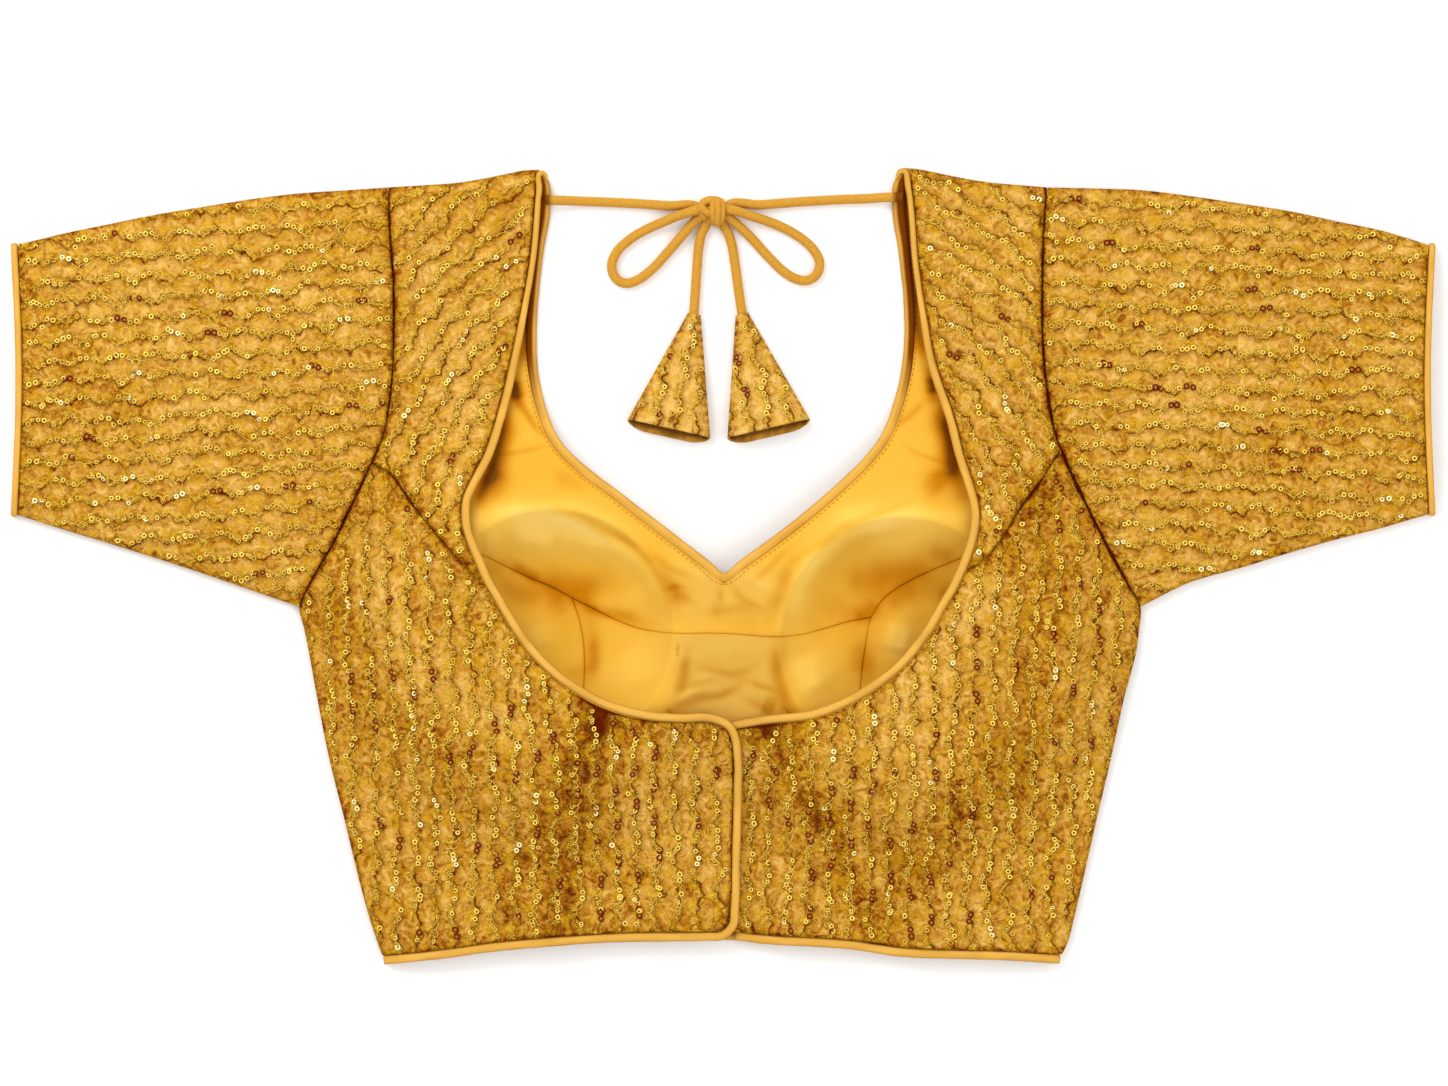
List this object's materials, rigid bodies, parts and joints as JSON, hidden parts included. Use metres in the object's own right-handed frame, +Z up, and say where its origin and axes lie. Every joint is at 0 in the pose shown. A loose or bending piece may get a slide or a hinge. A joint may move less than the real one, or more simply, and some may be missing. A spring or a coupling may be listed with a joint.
{
  "type": "choli blouse",
  "caption": "Cropped choli blouse of sequinned net with elbow sleeves, padded cups, a deep back neck and a tied cord with cone tassels, laid flat back side up.",
  "frame": {"origin": "middle of the blouse in plan, on the surface it lies on", "axes": "+X to the right sleeve as seen from above, +Y towards the shoulders, +Z up from the surface"},
  "size_m": [0.741, 0.4142, 0.0349],
  "materials": {
    "sequin_cloth": "embroidered net over satin, with sequins",
    "lining_satin": "smooth satin",
    "piping_satin": "satin",
    "cord_satin": "satin"
  },
  "bodies": {
    "root": {"back_left": "sequin_cloth", "back_right": "sequin_cloth", "yoke_left": "sequin_cloth", "yoke_right": "sequin_cloth", "front_upper": "sequin_cloth", "front_side_left": "sequin_cloth", "front_side_right": "sequin_cloth", "front_band": "sequin_cloth", "sleeve_left": "sequin_cloth", "sleeve_right": "sequin_cloth", "latkan_left": "sequin_cloth", "latkan_right": "sequin_cloth", "lining_upper": "lining_satin", "lining_side_left": "lining_satin", "lining_side_right": "lining_satin", "lining_band": "lining_satin", "piping_back_left": "piping_satin", "piping_neck_right": "piping_satin", "piping_hem_right": "piping_satin", "piping_neck_front": "piping_satin", "piping_hem_front": "piping_satin", "piping_cuff_left": "piping_satin", "piping_cuff_right": "piping_satin", "dori_tie_left": "cord_satin", "dori_tie_right": "cord_satin", "bow_loop_left": "cord_satin", "bow_loop_right": "cord_satin", "bow_tail_left": "cord_satin", "bow_tail_right": "cord_satin", "bow_knot": "cord_satin"}
  },
  "joints": []
}
